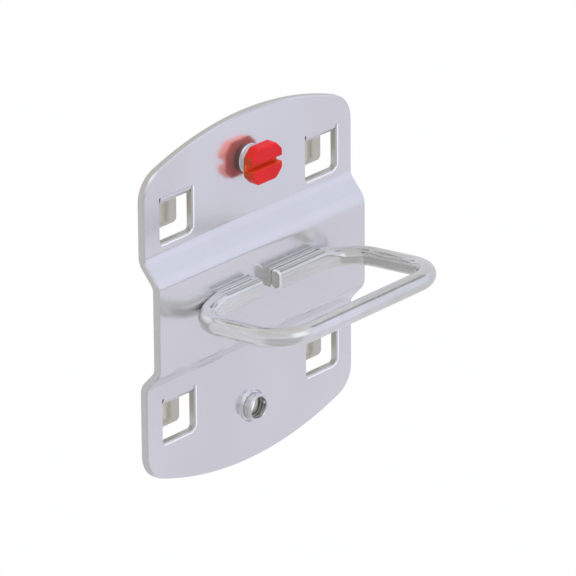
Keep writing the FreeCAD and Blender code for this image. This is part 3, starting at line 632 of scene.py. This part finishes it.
@dataclass(frozen=True)
class MouldedPlastic:
    """Semi-gloss red moulded plastic with a fine grain, and the screw's thread on its shank, with painted
    shade on the head's left and right faces.
    """

    name: str = "moulded_red"
    body: Colour = (0.74, 0.016, 0.020)
    deep: Colour = (0.64, 0.012, 0.014)
    # Painted shade: a darker brown-red on the head's left and right faces.
    painted_side: Colour = (0.50, 0.062, 0.016)
    slot: Colour = (0.80, 0.10, 0.025)
    # Painted reflections, for glossy rays only: the head's back, sides and far views as the plate mirrors
    # them.
    painted_reflection_back: Colour = (0.95, 0.07, 0.02)
    painted_reflection_side: Colour = (0.90, 0.24, 0.20)
    painted_reflection_far: Colour = (0.66, 0.58, 0.59)
    gloss: float = 0.34
    grain: float = 0.12
    mottling: float = 220.0
    pitch: float = 0.7 * MM
    thread_depth: float = 0.3 * MM
    grain_share: float = 0.012
    slot_half: float = 0.6 * MM
    shank_front: float = -3.6 * MM
    far_off: tuple[float, float] = (12.0 * MM, 17.0 * MM)
    seen_twice: tuple[float, float] = (1.2, 1.8)

    def material(self) -> bpy.types.Material:
        """Builds the finish.

        Returns:
            The material.
        """
        surface = Surface(self.name)
        nodes = surface.nodes
        cloud = CLOUD.place(nodes, Place=surface.place, Scale=self.mottling)
        colour = nodes.blend(cloud["Cloud"], self.body, self.deep)
        for share, tint in self.tints(surface):
            colour = nodes.blend(share, colour, tint)
        surface.set(
            Base_Color=colour,
            Roughness=nodes.ramp(cloud["Grain"], 0.0, 1.0, self.gloss, self.gloss + self.grain),
            IOR=1.49,
            Specular_IOR_Level=0.2,
            Subsurface_Weight=0.08,
            Subsurface_Radius=(1.0, 0.2, 0.1),
            Subsurface_Scale=0.6 * MM,
            Normal=nodes.bump(self.thread(surface, cloud["Grain"]), 0.6, self.thread_depth),
        )
        return surface.material

    def tints(self, surface: Surface) -> list[tuple[bpy.types.NodeSocket, Colour]]:
        """Finds what differs from the body's colour: painted shade on the head's sides, its slot, and
        painted colours for its mirror image in the plate.

        Args:
            surface: the material in the making.

        Returns:
            A mask and its colour for each, in the order in which they are laid on.
        """
        nodes = surface.nodes
        sideways, facing, _ = nodes.axes(surface.normal)
        _, depth, height = nodes.axes(surface.place)
        from_axis = nodes.maths("ABSOLUTE", nodes.maths("SUBTRACT", height, COLLAR_HEIGHT))
        slot = nodes.product(nodes.ramp(from_axis, self.slot_half + 0.06 * MM, self.slot_half),
                             nodes.ramp(depth, self.shank_front - 0.1 * MM, self.shank_front - 0.4 * MM))
        ray = nodes.add("ShaderNodeLightPath").outputs
        mirrored = ray["Is Glossy Ray"]
        far = nodes.maths("MAXIMUM", nodes.ramp(ray["Ray Length"], *self.far_off),
                          nodes.ramp(ray["Glossy Depth"], *self.seen_twice))
        back = nodes.ramp(facing, 0.8, 0.95)
        painted_side = nodes.ramp(nodes.maths("ABSOLUTE", facing), 0.8, 0.5)
        return [
            # Painted shade on the head's left and right faces.
            (nodes.ramp(nodes.maths("ABSOLUTE", sideways), 0.6, 0.95), self.painted_side),
            (slot, self.slot),
            # Painted reflections: how the plate mirrors the head, for glossy rays only.
            (nodes.product(back, mirrored), self.painted_reflection_back),
            (nodes.product(painted_side, mirrored), self.painted_reflection_side),
            (nodes.product(far, mirrored), self.painted_reflection_far),
        ]

    def thread(self, surface: Surface, grain: bpy.types.NodeSocket) -> bpy.types.NodeSocket:
        """Raises a helical thread on the shank, and the mould's grain everywhere.

        Args:
            surface: the material in the making.
            grain: the grain's socket.

        Returns:
            The height's socket.
        """
        nodes = surface.nodes
        across, depth, height = nodes.axes(surface.place)
        up = nodes.maths("SUBTRACT", height, COLLAR_HEIGHT)
        turn = nodes.maths("DIVIDE", nodes.maths("ARCTAN2", up, across), 2 * math.pi)
        along = nodes.maths("DIVIDE", depth, self.pitch)
        ridge = nodes.maths("PINGPONG", nodes.maths("ADD", along, turn), 0.5)
        on_shank = nodes.ramp(depth, self.shank_front, self.shank_front + 0.2 * MM)
        return nodes.maths("MULTIPLY_ADD", grain, self.grain_share, nodes.product(ridge, on_shank))


def deselect() -> None:
    """Leaves nothing selected."""
    if bpy.context.object and bpy.context.object.mode != "OBJECT":
        bpy.ops.object.mode_set(mode="OBJECT")
    bpy.ops.object.select_all(action="DESELECT")


def select_points(piece: bpy.types.Object, test: Callable[[Vector], bool]) -> None:
    """Selects, in edit mode, the points whose place passes a test, with the edges and faces between them.

    Args:
        piece: the mesh object.
        test: takes a point's place and says whether it is selected.
    """
    bpy.ops.object.mode_set(mode="EDIT")
    bpy.ops.mesh.select_mode(type="VERT")
    bpy.ops.mesh.select_all(action="DESELECT")
    bpy.ops.object.mode_set(mode="OBJECT")
    for point in piece.data.vertices:
        point.select = test(piece.matrix_world @ point.co)
    bpy.ops.object.mode_set(mode="EDIT")


def settle(piece: bpy.types.Object) -> None:
    """Moves a piece's place into its mesh, so that its object is at the origin, unturned.

    Args:
        piece: the selected and active object.
    """
    bpy.ops.object.mode_set(mode="OBJECT")
    bpy.ops.object.transform_apply(location=True, rotation=True, scale=True)
    LOG.info("%s: %d faces", piece.name, len(piece.data.polygons))


@dataclass
class OpenCollar:
    """The lower collar's cut thread, which no screw fills."""

    axis_height: float = -COLLAR_HEIGHT
    pitch: float = 0.7 * MM
    root_radius: float = 2.015 * MM
    crest_radius: float = 1.68 * MM
    root_width: float = 0.62 * MM
    crest_share: float = 0.25
    front: float = -2.74 * MM
    back: float = -0.77 * MM
    steps_a_turn: int = 48
    weld: float = 0.001 * MM
    smooth_below: float = math.radians(25)

    def profile(self) -> bpy.types.Object:
        """Draws the ridge's section, a flat-topped wedge on the bore's wall at its front end.

        Returns:
            The section's object.
        """
        deselect()
        middle = (self.root_radius + self.crest_radius) / 2
        bpy.ops.mesh.primitive_plane_add(size=1.0, location=(middle, self.front, self.axis_height))
        ridge = bpy.context.object
        ridge.name = "collar_thread"
        bpy.ops.object.mode_set(mode="EDIT")
        bpy.ops.transform.resize(value=(self.root_radius - self.crest_radius, self.root_width, 1.0))
        select_points(ridge, lambda p: p.x < middle)
        bpy.ops.transform.resize(value=(1.0, self.crest_share, 1.0))
        bpy.ops.object.mode_set(mode="OBJECT")
        return ridge

    def build(self, finish: CutThread) -> bpy.types.Object:
        """Winds the ridge along the bore and closes its two ends.

        Args:
            finish: the cut thread's finish.

        Returns:
            The thread's object.
        """
        ridge = self.profile()
        bpy.context.scene.cursor.location = (0.0, 0.0, self.axis_height)
        bpy.ops.object.origin_set(type="ORIGIN_CURSOR")
        turns = (self.back - self.front) / self.pitch
        winding = ridge.modifiers.new("winding", "SCREW")
        winding.axis = "Y"
        winding.angle = 2 * math.pi * turns
        winding.screw_offset = self.back - self.front
        winding.steps = winding.render_steps = round(self.steps_a_turn * turns)
        winding.iterations = 1
        winding.use_merge_vertices = True
        winding.merge_threshold = self.weld
        bpy.ops.object.modifier_apply(modifier=winding.name)
        bpy.ops.object.mode_set(mode="EDIT")
        bpy.ops.mesh.select_all(action="SELECT")
        bpy.ops.mesh.remove_doubles(threshold=self.weld)
        bpy.ops.mesh.fill_holes(sides=0)
        bpy.ops.mesh.normals_make_consistent(inside=False)
        settle(ridge)
        bpy.ops.object.shade_smooth_by_angle(angle=self.smooth_below)
        ridge.data.materials.append(finish.material())
        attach(ridge, Body.HOLDER.value)
        return ridge


@dataclass
class CarriedParts:
    """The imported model's own solids, which keep their shape and take their finishes here."""

    plate: PlatedSheet = PlatedSheet()
    wire: PlatedWire = PlatedWire()
    screw: MouldedPlastic = MouldedPlastic()

    def dress(self, nodes: dict[str, bpy.types.Object]) -> None:
        """Gives each solid its finish.

        Args:
            nodes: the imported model's nodes by name.
        """
        for node, finish in ((Node.PLATE, self.plate), (Node.WIRE, self.wire), (Node.SCREW, self.screw)):
            piece = nodes[node.value]
            piece.data.materials.clear()
            piece.data.materials.append(finish.material())
            LOG.info("%s: %s", piece.name, finish.name)


@dataclass(frozen=True)
class Lamp:
    """A soft rectangular lamp that faces the part."""

    name: str
    place: Place
    size: tuple[float, float]
    watts: float

    def build(self) -> bpy.types.Object:
        """Hangs the lamp.

        Returns:
            The lamp's object.
        """
        deselect()
        bpy.ops.object.light_add(type="AREA", location=self.place)
        lamp = bpy.context.object
        lamp.name = self.name
        lamp.data.shape = "RECTANGLE"
        lamp.data.size, lamp.data.size_y = self.size
        lamp.data.energy = self.watts
        lamp.visible_glossy = False
        lamp.rotation_mode = "QUATERNION"
        lamp.rotation_quaternion = Vector(self.place).to_track_quat("Z", "Y")
        return lamp


@dataclass
class Studio:
    """A plain pale floor well below the hanging part, a soft white surround and large soft lamps."""

    floor_height: float = -0.35
    floor_radius: float = 6.0
    floor_sides: int = 96
    floor_rim: float = 0.4
    floor_colour: Colour = (0.86, 0.86, 0.86)
    floor_shown: float = 0.97
    surround: float = 0.8
    low_light: Colour = (0.92, 0.90, 0.86)
    high_light: Colour = (0.98, 1.04, 1.14)
    light_change: tuple[float, float] = (-0.2, 0.8)
    lamps: tuple[Lamp, ...] = (
        Lamp("lamp_above", (0.3, -0.4, 1.0), (1.3, 1.0), 7.0),
        Lamp("lamp_left", (-0.9, -0.3, 0.3), (0.6, 0.9), 2.0),
    )

    def floor(self) -> bpy.types.Object:
        """Lays a round floor with a separate rim.

        Returns:
            The floor's object.
        """
        deselect()
        bpy.ops.mesh.primitive_circle_add(vertices=self.floor_sides, radius=self.floor_radius,
                                          fill_type="NGON", location=(0.0, 0.0, self.floor_height))
        floor = bpy.context.object
        floor.name = "floor"
        bpy.ops.object.mode_set(mode="EDIT")
        bpy.ops.mesh.inset(thickness=self.floor_rim)
        settle(floor)
        floor.data.materials.append(self.floor_material())
        return floor

    def seen(self, nodes: NodeTree, way: bpy.types.NodeSocket) -> Sequence[bpy.types.NodeSocket]:
        """Picks what rays that only look at the studio see: white, or what bright metal mirrors.

        Args:
            nodes: the material's or world's nodes.
            way: the socket with the ray's way.

        Returns:
            The colour's socket, and a share of 1 for camera, glossy and transmission rays.
        """
        ray = nodes.add("ShaderNodeLightPath").outputs
        colour = nodes.blend(ray["Is Glossy Ray"], WHITE, WRAP.place(nodes, Way=way)["Colour"])
        share = nodes.maths("ADD", ray["Is Camera Ray"], ray["Is Transmission Ray"], clamp=True)
        return colour, nodes.maths("ADD", share, ray["Is Glossy Ray"], clamp=True)

    def floor_material(self) -> bpy.types.Material:
        """Makes pale paper, which the camera sees as white.

        Returns:
            The material.
        """
        paper = Surface("floor_paper")
        nodes = paper.nodes
        paper.set(Base_Color=self.floor_colour, Roughness=0.9)
        colour, share = self.seen(nodes, paper.place)
        white = nodes.add("ShaderNodeEmission", {"Color": colour}).outputs[0]
        shown = nodes.product(share, self.floor_shown)
        mix = nodes.add("ShaderNodeMixShader", {0: shown, 1: paper.shader.outputs[0], 2: white})
        nodes.feed(paper.output, mix.outputs[0])
        return paper.material

    def world(self) -> None:
        """Sets a soft surround, white to the camera, whose light is a little cooler above than below."""
        world = bpy.data.worlds.new("soft_surround")
        bpy.context.scene.world = world
        world.use_nodes = True
        world.node_tree.nodes.clear()
        nodes = NodeTree(world.node_tree)
        way = nodes.add("ShaderNodeTexCoord").outputs["Generated"]
        height = nodes.axes(way)[2]
        light = nodes.blend(nodes.ramp(height, *self.light_change), self.low_light, self.high_light)
        soft = nodes.add("ShaderNodeBackground", {"Color": light, "Strength": self.surround}).outputs[0]
        colour, share = self.seen(nodes, way)
        white = nodes.add("ShaderNodeBackground", {"Color": colour}).outputs[0]
        mix = nodes.add("ShaderNodeMixShader", {0: share, 1: soft, 2: white})
        nodes.add("ShaderNodeOutputWorld", {"Surface": mix.outputs[0]})

    def build(self) -> None:
        """Sets the floor, the surround and the lamps."""
        self.floor()
        self.world()
        for lamp in self.lamps:
            lamp.build()


@dataclass
class LongLens:
    """A camera far off on the part's left front, a little above it, with a long lens."""

    place: Place = (-0.706862, -0.639548, 0.408041)
    across: Place = (0.6630701, -0.7485344, -0.0058580)
    away: Place = (-0.6862330, -0.6109710, 0.3947134)
    focal_length: float = 366.697
    sensor_width: float = 36.0
    clip: tuple[float, float] = (0.01, 50.0)

    def build(self) -> bpy.types.Object:
        """Sets the camera up and makes it the scene's own.

        Returns:
            The camera's object.
        """
        deselect()
        bpy.ops.object.camera_add()
        camera = bpy.context.object
        camera.name = "camera"
        across, away = Vector(self.across).normalized(), Vector(self.away).normalized()
        up = away.cross(across).normalized()
        turned = Matrix((across, up, away)).transposed().to_4x4()
        camera.matrix_world = Matrix.Translation(self.place) @ turned
        camera.data.lens = self.focal_length
        camera.data.sensor_width = self.sensor_width
        camera.data.clip_start, camera.data.clip_end = self.clip
        camera.data.dof.use_dof = False
        bpy.context.scene.camera = camera
        return camera


def main() -> None:
    """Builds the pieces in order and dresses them."""
    logging.basicConfig(level=logging.INFO, format="%(name)s: %(message)s")
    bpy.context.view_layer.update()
    bpy.context.scene.view_settings.view_transform = "Standard"
    CarriedParts().dress(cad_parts)
    OpenCollar().build(CutThread())
    Studio().build()
    LongLens().build()


if __name__ == "__main__":
    main()
